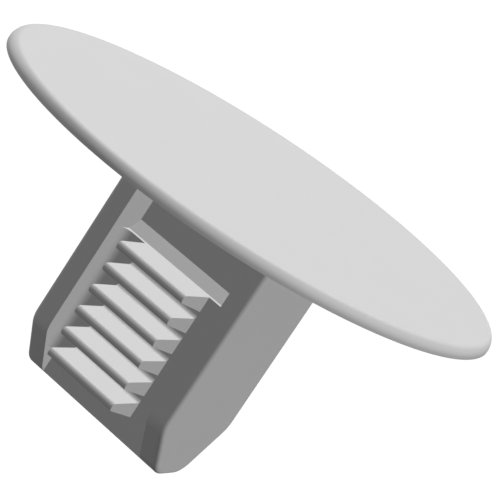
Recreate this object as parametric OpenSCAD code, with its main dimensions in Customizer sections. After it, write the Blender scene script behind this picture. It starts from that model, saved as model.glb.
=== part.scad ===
// Headliner clip: a thin round head on a ribbed push-in shank, moulded in one piece.
// Millimetres. The head's underside lies on z = 0, its outer face looks up, the shank hangs below.
// The ribs run along x. The front looks towards -y, and the back mirrors it.

/* [Head] */
// Diameter of the head
head_d = 30; // [24:0.5:40]
// Thickness of the head
head_t = 0.6; // [0.6:0.05:1.5]
// Radius of the head's upper edge
head_edge_r = 0.5; // [0.2:0.05:0.55]

/* [Shank] */
// Width across the two side walls
shank_w = 10.2; // [9:0.1:13]
// Depth from front face to back face
shank_d = 7.28; // [6.8:0.02:8.4]
// Thickness of each side wall
wall_t = 1.24; // [0.9:0.02:1.5]
// Thickness of the web between the two channels
web_t = 2.72; // [2.4:0.02:3.2]
// Radius of the shank's outer corners
corner_r = 0.22; // [0.1:0.01:0.5]

/* [Tip] */
// Height of the bevel at the tip, which runs in three for every four down
tip_h = 3; // [2.4:0.2:3.2]
// Radius that blends the bevel into the faces and the tip
tip_r = 1.5; // [1.05:0.15:1.65]
// Plain length between the rib pad and the tip
tip_gap = 1.88; // [1.5:0.01:3]

/* [Rib bank] */
// Distance from the head's underside to the top of the first rib
grip = 5.45; // [3:0.05:9]
// Number of ribs on each side
rib_count = 6; // [3:1:9]
// Distance from one rib to the next
rib_pitch = 1.385; // [1.35:0.005:1.8]
// Height of a rib where it leaves the pad
rib_root_h = 0.935; // [0.8:0.005:0.98]
// Radius of a rib's nose
rib_nose_r = 0.24; // [0.15:0.01:0.3]
// How far the noses stand out from the shank's face
rib_reach = 1.26; // [0.6:0.01:1.6]
// Radius in the corner between a rib's top and the pad
rib_fillet_r = 0.25; // [0.1:0.01:0.3]
// Free space between the rib ends and the side walls
rib_gap = 1.43; // [0.8:0.01:1.8]
// Height of the pad over the channel floor
pad_rise = 0.92; // [0.7:0.01:1]
// Radius between the pad and the side walls
pad_fillet_r = 0.5; // [0.2:0.05:0.6]
// Depth of the flat ledge on top of the pad
ledge_w = 0.28; // [0.2:0.01:0.5]
// Height of the slope from the ledge up to the channel floor
slope_h = 0.6; // [0.3:0.05:1]

/* [Hidden] */
$fn = 96;
cut_over = 1;
head_r = head_d / 2;
half_w = shank_w / 2;
half_d = shank_d / 2;
floor_u = web_t / 2;
channel_half_w = half_w - wall_t;
rib_w = 2 * (channel_half_w - rib_gap);
pad_u = floor_u + pad_rise;
ledge_u = pad_u - ledge_w;
pad_h = (rib_count - 1) * rib_pitch + rib_root_h;
pad_end = grip + pad_h;
shank_len = pad_end + tip_gap;
bevel_a = atan2(3, 4);
bevel_run = tip_h * tan(bevel_a);
bevel_top_t = tip_r * tan(bevel_a / 2);
bevel_end_t = tip_r * tan(45 - bevel_a / 2);
bevel_len = tip_h / cos(bevel_a) - bevel_top_t - bevel_end_t;
core_u = half_d - tip_r;
core_v = shank_len - tip_h - bevel_top_t;
tip_u = half_d - bevel_run - bevel_end_t;
tip_v = shank_len - tip_r;
root_in = head_t / 2;
nose_u = half_d + rib_reach - rib_nose_r;
nose_to_root = norm([nose_u - pad_u, rib_root_h - rib_nose_r]);
under_a = asin(rib_nose_r / nose_to_root) - atan2(rib_root_h - rib_nose_r, nose_u - pad_u);
under_len = sqrt(nose_to_root * nose_to_root - rib_nose_r * rib_nose_r);

// Turns a side view, u towards the front and v down from the head, to stand across the shank.
module side_view() {
  rotate([0, 90, 0])
    rotate([0, 0, -90])
      children();
}

// Puts what belongs to the front on the back as well.
module front_and_back() {
  children();
  mirror([1, 0, 0])
    children();
}

module head() {
  rotate_extrude()
    union() {
      square([head_r - head_edge_r, head_t]);
      square([head_r, head_t - head_edge_r]);
      translate([head_r - head_edge_r, head_t - head_edge_r])
        intersection() {
          circle(r = head_edge_r);
          square(head_edge_r);
        }
    }
}

// Outer layer of the shank in section: u outward to the skin, both outer corners rounded.
module skin_section() {
  translate([0, -half_w])
    square([tip_r - corner_r, shank_w]);
  translate([0, corner_r - half_w])
    square([tip_r, shank_w - 2 * corner_r]);
  for (side = [-1, 1])
    translate([tip_r - corner_r, side * (half_w - corner_r)])
      circle(r = corner_r);
}

module skin_run(len) {
  rotate([-90, 0, 0])
    linear_extrude(height = len)
      skin_section();
}

module skin_turn(angle) {
  rotate_extrude(angle = angle)
    skin_section();
}

// Skin of one face: straight run, turn into the bevel, bevel, turn under the tip.
module face_skin() {
  translate([core_u, -root_in, 0])
    skin_run(core_v + root_in);
  translate([core_u, core_v, 0]) {
    skin_turn(bevel_a);
    rotate([0, 0, bevel_a])
      skin_run(bevel_len);
  }
  translate([tip_u, tip_v, 0])
    rotate([0, 0, bevel_a])
      skin_turn(90 - bevel_a);
}

module shank_block() {
  front_and_back()
    face_skin();
  translate([tip_u, tip_v, 0])
    rotate([0, 0, 90])
      skin_run(2 * tip_u);
  linear_extrude(height = shank_w, center = true)
    polygon([
      [core_u, -root_in],
      [core_u, core_v],
      [tip_u, tip_v],
      [-tip_u, tip_v],
      [-core_u, core_v],
      [-core_u, -root_in]
    ]);
}

// Open space of the channel over the pad's slope and ledge.
module channel_top() {
  linear_extrude(height = 2 * channel_half_w, center = true)
    polygon([
      [floor_u, 0],
      [floor_u, grip - slope_h],
      [ledge_u, grip],
      [half_d + cut_over, grip],
      [half_d + cut_over, 0]
    ]);
}

// Open space in front of the pad, with the pad's blends to the side walls.
module channel_pad() {
  translate([0, grip, 0])
    rotate([-90, 0, 0])
      linear_extrude(height = pad_h)
        union() {
          translate([pad_u + pad_fillet_r, -channel_half_w])
            square([half_d + cut_over - pad_u - pad_fillet_r, 2 * channel_half_w]);
          translate([pad_u, pad_fillet_r - channel_half_w])
            square([half_d + cut_over - pad_u, 2 * (channel_half_w - pad_fillet_r)]);
          for (side = [-1, 1])
            translate([pad_u + pad_fillet_r, side * (channel_half_w - pad_fillet_r)])
              circle(r = pad_fillet_r);
        }
}

// Open space of the channel below the pad.
module channel_end() {
  translate([floor_u, pad_end, -channel_half_w])
    cube([half_d + cut_over - floor_u, tip_gap + cut_over, 2 * channel_half_w]);
}

// One rib in side view: flat top, round nose, underside falling back to its root.
module rib_view() {
  polygon([
    [floor_u, 0],
    [nose_u, 0],
    [nose_u, rib_nose_r],
    [pad_u + under_len * cos(under_a), rib_root_h + under_len * sin(under_a)],
    [pad_u, rib_root_h],
    [floor_u, rib_root_h]
  ]);
  translate([nose_u, rib_nose_r])
    circle(r = rib_nose_r);
}

// Hollow corner between a rib's top and the pad above it.
module fillet_view() {
  difference() {
    translate([floor_u, -rib_fillet_r])
      square([pad_rise + rib_fillet_r, rib_fillet_r]);
    translate([pad_u + rib_fillet_r, -rib_fillet_r])
      circle(r = rib_fillet_r);
  }
}

module rib_bank() {
  linear_extrude(height = rib_w, center = true)
    union() {
      translate([floor_u, grip])
        square([pad_rise, pad_h]);
      for (i = [0 : rib_count - 1])
        translate([0, grip + i * rib_pitch])
          rib_view();
      for (i = [1 : rib_count - 1])
        translate([0, grip + i * rib_pitch])
          fillet_view();
    }
}

module shank() {
  side_view() {
    difference() {
      shank_block();
      front_and_back() {
        channel_top();
        channel_pad();
        channel_end();
      }
    }
    front_and_back()
      rib_bank();
  }
}

module clip() {
  color([0.85, 0.85, 0.85])
    union() {
      head();
      shank();
    }
}

clip();
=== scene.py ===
# Headliner clip: the moulded clip, its nylon, and the plain studio that shows it.
import math

import bmesh
import bpy
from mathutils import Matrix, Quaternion, Vector


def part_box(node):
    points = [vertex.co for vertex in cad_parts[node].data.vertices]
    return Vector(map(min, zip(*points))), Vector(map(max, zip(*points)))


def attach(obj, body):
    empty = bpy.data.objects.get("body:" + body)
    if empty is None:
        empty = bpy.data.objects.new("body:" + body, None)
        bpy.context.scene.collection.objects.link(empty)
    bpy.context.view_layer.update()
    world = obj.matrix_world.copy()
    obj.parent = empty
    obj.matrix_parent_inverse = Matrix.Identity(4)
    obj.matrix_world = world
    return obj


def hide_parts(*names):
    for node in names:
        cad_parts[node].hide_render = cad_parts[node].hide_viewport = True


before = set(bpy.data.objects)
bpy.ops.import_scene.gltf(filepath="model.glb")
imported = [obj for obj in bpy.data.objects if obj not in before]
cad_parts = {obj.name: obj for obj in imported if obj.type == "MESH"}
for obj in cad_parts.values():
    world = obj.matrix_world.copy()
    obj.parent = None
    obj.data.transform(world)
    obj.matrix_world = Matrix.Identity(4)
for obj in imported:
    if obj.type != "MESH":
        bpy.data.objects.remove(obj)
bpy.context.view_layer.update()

clip_low, clip_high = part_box("clip")

MM = 0.001
HALF_TURN = math.pi
QUARTER_TURN = math.pi / 2

# Head, in millimetres: the disc's reach and thickness come from the frame.
head_r = clip_high.x / MM
head_t = clip_high.z / MM
head_edge_r = 0.5

# Shank, in millimetres: its length comes from the frame.
shank_len = -clip_low.z / MM
shank_w = 10.2
shank_d = 7.28
wall_t = 1.24
web_t = 2.72
corner_r = 0.22

# Bevel at the tip: three in for every four down, blended into the faces and the end.
tip_h = 3.0
tip_r = 1.5

# Rib bank: the pad in the channel, its slope and ledge, and the ribs that stand on it.
grip = 5.45
rib_count = 6
rib_pitch = 1.385
rib_root_h = 0.935
rib_nose_r = 0.24
rib_reach = 1.26
rib_fillet_r = 0.25
rib_gap = 1.43
pad_rise = 0.92
pad_fillet_r = 0.5
ledge_w = 0.28
slope_h = 0.6

# How far one solid reaches into the next before they are made one, and a cut past what it cuts.
sink = 0.3
cut_over = 1

# Fineness of the mesh: facets along each round.
head_sides = 240
head_edge_steps = 10
corner_steps = 6
bend_steps = 8
nose_steps = 16

# Corners this near to each other are one, and their places are kept to this many decimals.
same_place = 1e-4
place_digits = 4

# Faces that turn less than the first angle are one flat; edges that turn more than the second are crisp.
flat_turn = math.radians(0.2)
crisp_turn = math.radians(35)

# Nylon skin, in millimetres: width of the clouds, width and depth of the pits.
cloud_w = 4
pit_w = 0.15
pit_h = 0.01

# Studio floor, in millimetres: how far it lies below the head, and its width.
floor_drop = 50
floor_w = 8000

# Camera, in millimetres and degrees: what it aims at, how far off and which way it stands, and its tilt.
camera_aim = (1.8, 0.1, -2.71)
camera_distance = 110.1
camera_azimuth = 24
camera_elevation = 13.3
camera_tilt = 33.58
camera_lens = 150
camera_sensor_w = 36
camera_nearest = 1

half_w = shank_w / 2
half_d = shank_d / 2
floor_y = web_t / 2
pad_y = floor_y + pad_rise
ledge_y = pad_y - ledge_w
nose_y = half_d + rib_reach - rib_nose_r
channel_half_w = half_w - wall_t
rib_half_w = channel_half_w - rib_gap
pad_end = grip + (rib_count - 1) * rib_pitch + rib_root_h

bevel_a = math.atan2(3, 4)
bevel_top_t = tip_r * math.tan(bevel_a / 2)
bevel_end_t = tip_r * math.tan(math.pi / 4 - bevel_a / 2)
bevel_len = tip_h / math.cos(bevel_a) - bevel_top_t - bevel_end_t
core_y = half_d - tip_r
core_z = shank_len - tip_h - bevel_top_t
tip_y = half_d - tip_h * math.tan(bevel_a) - bevel_end_t
tip_z = shank_len - tip_r


def begin(add, reach=(1, 1, 1), **place):
    """Adds a primitive at its size and place, with nothing else selected, and opens it for editing."""
    bpy.ops.object.select_all(action="DESELECT")
    add(**place)
    bpy.context.object.scale = reach
    bpy.ops.object.transform_apply(location=True, rotation=True, scale=True)
    bpy.ops.object.mode_set(mode="EDIT")
    bpy.ops.mesh.select_mode(type="EDGE")
    return bpy.context.object


def near(a, b):
    return abs(a - b) < same_place


def pick_edges(piece, *tests):
    """Selects the edges whose two ends both pass one of the tests."""
    bpy.ops.mesh.select_all(action="DESELECT")
    mesh = bmesh.from_edit_mesh(piece.data)
    for edge in mesh.edges:
        edge.select_set(any(all(test(corner.co) for corner in edge.verts) for test in tests))
    bmesh.update_edit_mesh(piece.data)


def run(x, y, z):
    """Draws the selected edge out in a straight line."""
    bpy.ops.mesh.extrude_region_move(TRANSFORM_OT_translate={"value": (x, y, z)})


def turn(angle, centre, axis=(1, 0, 0), steps=bend_steps):
    """Draws the selected edge round a centre by the right-hand rule; spin itself counts the other way."""
    bpy.ops.mesh.spin(steps=steps, angle=-angle, center=centre, axis=axis)


def close_ends(piece):
    """Fills what is still open, turns every face outwards, leaves edit mode and settles the corners.

    Corners are rounded to a tenth of a micron, so that flat faces of two solids lie in one plane.
    """
    bpy.ops.mesh.select_all(action="SELECT")
    bpy.ops.mesh.remove_doubles(threshold=same_place)
    bpy.ops.mesh.fill_holes(sides=0)
    bpy.ops.mesh.select_all(action="SELECT")
    bpy.ops.mesh.normals_make_consistent(inside=False)
    bpy.ops.object.mode_set(mode="OBJECT")
    for corner in piece.data.vertices:
        corner.co = [round(value, place_digits) for value in corner.co]


def apply_modifier(piece, kind, **settings):
    modifier = piece.modifiers.new(kind.title(), kind)
    for name, value in settings.items():
        setattr(modifier, name, value)
    bpy.context.view_layer.objects.active = piece
    bpy.ops.object.modifier_apply(modifier=modifier.name)


def combine(piece, other, operation):
    """Cuts another solid out of the piece, or makes the two one."""
    apply_modifier(piece, "BOOLEAN", operation=operation, solver="EXACT", object=other)
    bpy.data.objects.remove(other)


def front_and_back(piece):
    """Puts what was made for the front on the back as well."""
    apply_modifier(piece, "MIRROR", use_axis=(False, True, False), use_mirror_merge=False)
    return piece


def box(low, high):
    """A plain block between two corners, to cut with or to trim."""
    middle = [(a + b) / 2 for a, b in zip(low, high)]
    reach = [b - a for a, b in zip(low, high)]
    return begin(bpy.ops.mesh.primitive_cube_add, reach=reach, size=1, location=middle)


def head_disc():
    """The thin round head, its upper edge rolled over."""
    piece = begin(
        bpy.ops.mesh.primitive_cylinder_add,
        vertices=head_sides,
        radius=head_r,
        depth=head_t,
        location=(0, 0, head_t / 2),
    )
    pick_edges(piece, lambda corner: near(corner.z, head_t))
    bpy.ops.mesh.bevel(offset=head_edge_r, segments=head_edge_steps, affect="EDGES")
    close_ends(piece)
    return piece


def shank_block():
    """The shank before its channels, its long corners rounded.

    One strip is drawn down the front, round the tip and up the back, and then closed.
    """
    piece = begin(
        bpy.ops.mesh.primitive_plane_add,
        reach=(shank_w, core_z + sink, 1),
        size=1,
        location=(0, -half_d, (sink - core_z) / 2),
        rotation=(QUARTER_TURN, 0, 0),
    )
    pick_edges(piece, lambda corner: near(corner.z, -core_z))
    in_y = bevel_len * math.sin(bevel_a)
    down_z = bevel_len * math.cos(bevel_a)
    turn(bevel_a, (0, -core_y, -core_z))
    run(0, in_y, -down_z)
    turn(QUARTER_TURN - bevel_a, (0, -tip_y, -tip_z))
    run(0, 2 * tip_y, 0)
    turn(QUARTER_TURN - bevel_a, (0, tip_y, -tip_z))
    run(0, in_y, down_z)
    turn(bevel_a, (0, core_y, -core_z))
    run(0, 0, core_z + sink)
    pick_edges(piece, lambda corner: near(corner.z, sink))
    bpy.ops.mesh.edge_face_add()
    close_ends(piece)
    bpy.ops.object.mode_set(mode="EDIT")
    pick_edges(piece, lambda corner: near(corner.x, half_w), lambda corner: near(corner.x, -half_w))
    bpy.ops.mesh.bevel(offset=corner_r, segments=corner_steps, affect="EDGES")
    bpy.ops.object.mode_set(mode="OBJECT")
    return piece


def channel_cut():
    """The open space of a channel, from end to end of the shank."""
    low = (-channel_half_w, -half_d - cut_over, -shank_len - cut_over)
    high = (channel_half_w, -floor_y, cut_over)
    piece = box(low, high)
    close_ends(piece)
    return front_and_back(piece)


def channel_slope():
    """The slope that leads from the channel's floor down to the ledge."""
    side = channel_half_w + sink
    # The block is tall enough for the slope to run out inside the web.
    top = slope_h + sink * slope_h / (ledge_y - floor_y) + sink
    piece = box((-side, -ledge_y, -grip - sink), (side, sink - floor_y, top - grip))
    bpy.ops.mesh.select_all(action="SELECT")
    outward = Vector((0, -slope_h, ledge_y - floor_y))
    bpy.ops.mesh.bisect(plane_co=(0, -ledge_y, -grip), plane_no=outward, clear_outer=True, use_fill=True)
    close_ends(piece)
    return front_and_back(piece)


def rib_pad():
    """The raised pad in the channel, blended up into both side walls."""
    side = channel_half_w + sink
    blend_y = pad_y + pad_fillet_r
    blend_x = channel_half_w - pad_fillet_r
    piece = begin(
        bpy.ops.mesh.primitive_plane_add,
        reach=(sink, pad_end - grip, 1),
        size=1,
        location=(-channel_half_w - sink / 2, -blend_y, -(grip + pad_end) / 2),
        rotation=(QUARTER_TURN, 0, 0),
    )
    pick_edges(piece, lambda corner: near(corner.x, -channel_half_w))
    upright = (0, 0, 1)
    turn(-QUARTER_TURN, (-blend_x, -blend_y, 0), axis=upright)
    run(2 * blend_x, 0, 0)
    turn(-QUARTER_TURN, (blend_x, -blend_y, 0), axis=upright)
    run(sink, 0, 0)
    run(0, blend_y - floor_y + sink, 0)
    run(-2 * side, 0, 0)
    run(0, floor_y - sink - blend_y, 0)
    close_ends(piece)
    return front_and_back(piece)


def rib_comb():
    """All the ribs of one face in one sweep.

    Each has a flat top, a round nose and a sloping underside, and a hollow corner leads to the next.
    """
    # The underside leaves the nose along its tangent and ends at the rib's root.
    drop = rib_root_h - rib_nose_r
    out = nose_y - pad_y
    lean = math.asin(rib_nose_r / math.hypot(out, drop)) - math.atan2(drop, out)
    under_len = math.sqrt(out * out + drop * drop - rib_nose_r * rib_nose_r)
    back_y = floor_y - sink
    piece = begin(
        bpy.ops.mesh.primitive_plane_add,
        reach=(2 * rib_half_w, nose_y - back_y, 1),
        size=1,
        location=(0, -(back_y + nose_y) / 2, -grip),
    )
    pick_edges(piece, lambda corner: near(corner.y, -nose_y))
    for index in range(rib_count):
        top_z = -grip - index * rib_pitch
        turn(HALF_TURN + lean, (0, -nose_y, top_z - rib_nose_r), steps=nose_steps)
        run(0, under_len * math.cos(lean), under_len * math.sin(lean))
        if index < rib_count - 1:
            run(0, 0, rib_root_h + rib_fillet_r - rib_pitch)
            next_z = top_z - rib_pitch
            turn(-QUARTER_TURN, (0, -pad_y - rib_fillet_r, next_z + rib_fillet_r))
            run(0, pad_y + rib_fillet_r - nose_y, 0)
    run(0, pad_y - back_y, 0)
    run(0, 0, pad_end - grip)
    close_ends(piece)
    return front_and_back(piece)


def moulded_clip():
    """The whole clip as one closed solid, in metres, its rounds shaded smooth and its flats flat."""
    piece = shank_block()
    combine(piece, channel_cut(), "DIFFERENCE")
    for solid in (rib_pad(), channel_slope(), rib_comb(), head_disc()):
        combine(piece, solid, "UNION")
    bpy.ops.object.mode_set(mode="EDIT")
    bpy.ops.mesh.select_all(action="SELECT")
    bpy.ops.mesh.remove_doubles(threshold=same_place)
    bpy.ops.mesh.dissolve_limited(angle_limit=flat_turn)
    bpy.ops.object.mode_set(mode="OBJECT")
    piece.name = "moulded_clip"
    piece.scale = (MM, MM, MM)
    bpy.ops.object.select_all(action="DESELECT")
    piece.select_set(True)
    bpy.ops.object.transform_apply(location=True, rotation=True, scale=True)
    bpy.ops.object.shade_smooth_by_angle(angle=crisp_turn)
    apply_modifier(piece, "WEIGHTED_NORMAL", keep_sharp=True, weight=100)
    return piece


def linear(code):
    """An sRGB hex colour as the linear one that a shader takes."""
    parts = [int(code[start : start + 2], 16) / 255 for start in (1, 3, 5)]
    parts = [part / 12.92 if part <= 0.04045 else ((part + 0.055) / 1.055) ** 2.4 for part in parts]
    return parts + [1.0]


def node(tree, kind, inputs, **settings):
    """Adds a node with its settings; an input is given a value, or linked where it is given a socket."""
    added = tree.nodes.new(kind)
    for name, value in settings.items():
        setattr(added, name, value)
    for name, value in inputs.items():
        if isinstance(value, bpy.types.NodeSocket):
            tree.links.new(value, added.inputs[name])
        else:
            added.inputs[name].default_value = value
    return added.outputs


def open_nodes(owner):
    """The empty node tree of a material or a world."""
    owner.use_nodes = True
    owner.node_tree.nodes.clear()
    return owner.node_tree


def seen_by_eye(tree):
    """One for what the camera sees, straight or in gloss or glass, and nought for light between things."""
    path = node(tree, "ShaderNodeLightPath", {})
    reflected = {0: path["Is Glossy Ray"], 1: path["Is Transmission Ray"]}
    in_gloss_or_glass = node(tree, "ShaderNodeMath", reflected, operation="MAXIMUM")
    either = {0: path["Is Camera Ray"], 1: in_gloss_or_glass[0]}
    return node(tree, "ShaderNodeMath", either, operation="MAXIMUM")[0]


def moulded_nylon():
    """Light grey nylon: an even, matt skin that spreads the light softly and has no sharp gleam."""
    material = bpy.data.materials.new("moulded nylon")
    tree = open_nodes(material)
    place = node(tree, "ShaderNodeTexCoord", {})["Object"]
    # Faint clouds, where the melt ran together. Sockets 6 and 7 are the two colours that are mixed.
    cloud = node(tree, "ShaderNodeTexNoise", {"Vector": place, "Scale": 1 / (cloud_w * MM), "Detail": 2.0})
    greys = {0: cloud["Fac"], 6: linear("#D8D8D8"), 7: linear("#DADADA")}
    grey = node(tree, "ShaderNodeMix", greys, data_type="RGBA")
    # The spark-eroded mould leaves pits of about 0.05 mm, drawn three times as wide so that they can show.
    pits = node(tree, "ShaderNodeTexNoise", {"Vector": place, "Scale": 1 / (pit_w * MM), "Detail": 1.0})
    pitted = {"Height": pits["Fac"], "Strength": 0.05, "Distance": pit_h * MM}
    relief = node(tree, "ShaderNodeBump", pitted)
    matt = node(tree, "ShaderNodeMapRange", {"Value": pits["Fac"], "To Min": 0.8, "To Max": 0.9})
    skin = {
        "Base Color": grey[2],
        "Roughness": matt["Result"],
        "IOR": 1.53,
        "Specular IOR Level": 0.06,
        "Normal": relief["Normal"],
    }
    surface = node(tree, "ShaderNodeBsdfPrincipled", skin)
    node(tree, "ShaderNodeOutputMaterial", {"Surface": surface["BSDF"]})
    return material


def pale_floor_paint():
    """White to the eye but for the clip's shadow; it throws little light back up at the clip."""
    material = bpy.data.materials.new("pale floor paint")
    tree = open_nodes(material)
    lit = node(tree, "ShaderNodeBsdfDiffuse", {"Color": linear("#BCBCBC")})
    glow = node(tree, "ShaderNodeEmission", {"Strength": 0.53})
    white = node(tree, "ShaderNodeAddShader", {0: lit[0], 1: glow[0]})
    dull = node(tree, "ShaderNodeBsdfDiffuse", {"Color": linear("#202020")})
    shown = node(tree, "ShaderNodeMixShader", {0: seen_by_eye(tree), 1: dull[0], 2: white[0]})
    # From below the floor isn't there, so that the clip can be looked at from under it.
    clear = node(tree, "ShaderNodeBsdfTransparent", {})
    below = node(tree, "ShaderNodeNewGeometry", {})["Backfacing"]
    sided = node(tree, "ShaderNodeMixShader", {0: below, 1: shown[0], 2: clear[0]})
    node(tree, "ShaderNodeOutputMaterial", {"Surface": sided[0]})
    return material


def studio_floor():
    """The floor lies well below the clip, which its mount holds up."""
    piece = begin(bpy.ops.mesh.primitive_plane_add, size=floor_w * MM, location=(0, 0, -floor_drop * MM))
    bpy.ops.object.mode_set(mode="OBJECT")
    piece.name = "studio_floor"
    piece.data.materials.append(pale_floor_paint())
    return piece


def towards(azimuth, elevation):
    """The way from the clip to a viewer or a lamp: azimuth 0 is the front, 90 the side on +X."""
    a, e = math.radians(azimuth), math.radians(elevation)
    return Vector((math.sin(a) * math.cos(e), -math.cos(a) * math.cos(e), math.sin(e)))


def alone(thing):
    """A collection that holds one thing, for the lamps that light only that."""
    collection = bpy.data.collections.new(thing.name + " alone")
    collection.objects.link(thing)
    return collection


def studio_lamp(name, lights, azimuth, elevation, strength, spread=8, shadow=False):
    """A broad, even lamp far off, that lights one thing alone; angles are in degrees."""
    lamp = bpy.data.lights.new(name, "SUN")
    lamp.energy = strength
    lamp.angle = math.radians(spread)
    lamp.use_shadow = shadow
    lamp.cycles.max_bounces = 0
    stand = bpy.data.objects.new(name, lamp)
    stand.rotation_euler = towards(azimuth, elevation).to_track_quat("Z", "Y").to_euler()
    stand.light_linking.receiver_collection = lights
    bpy.context.scene.collection.objects.link(stand)


def white_world():
    """White behind the clip and in its sheen, with no light of its own."""
    world = bpy.data.worlds.new("white studio")
    tree = open_nodes(world)
    sky = node(tree, "ShaderNodeBackground", {"Color": linear("#FFFFFF"), "Strength": seen_by_eye(tree)})
    node(tree, "ShaderNodeOutputWorld", {"Surface": sky[0]})
    return world


def photo_camera():
    """Stands where the photograph was taken, tilted as it was."""
    camera = bpy.data.objects.new("photo_camera", bpy.data.cameras.new("photo_camera"))
    bpy.context.scene.collection.objects.link(camera)
    camera.data.sensor_width = camera_sensor_w
    camera.data.lens = camera_lens
    camera.data.clip_start = camera_nearest * MM
    back = towards(camera_azimuth, camera_elevation)
    tilt = Quaternion((0, 0, 1), math.radians(camera_tilt))
    camera.location = (Vector(camera_aim) + back * camera_distance) * MM
    camera.rotation_euler = (back.to_track_quat("Z", "Y") @ tilt).to_euler()
    return camera


clip = moulded_clip()
clip.data.materials.clear()
clip.data.materials.append(moulded_nylon())
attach(clip, "root")
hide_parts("clip")

floor = studio_floor()

# The clip is lit evenly from all round and casts no shade on itself; its shadow falls on the floor.
clip_alone = alone(clip)
studio_lamp("front_lamp", clip_alone, azimuth=1.0, elevation=45.8, strength=0.44)
studio_lamp("top_lamp", clip_alone, azimuth=157.9, elevation=81.7, strength=1.29)
studio_lamp("low_fill", clip_alone, azimuth=294.7, elevation=-26.9, strength=0.69)
studio_lamp("right_lamp", clip_alone, azimuth=90.0, elevation=17.5, strength=1.41)
studio_lamp("rear_lamp", clip_alone, azimuth=229.6, elevation=31.1, strength=1.89)
studio_lamp("back_fill", clip_alone, azimuth=200.0, elevation=-25.0, strength=0.72)
studio_lamp("floor_lamp", alone(floor), azimuth=229.6, elevation=80.0, strength=3.2, spread=40, shadow=True)

scene = bpy.context.scene
scene.world = white_world()
scene.camera = photo_camera()
scene.view_settings.view_transform = "Standard"
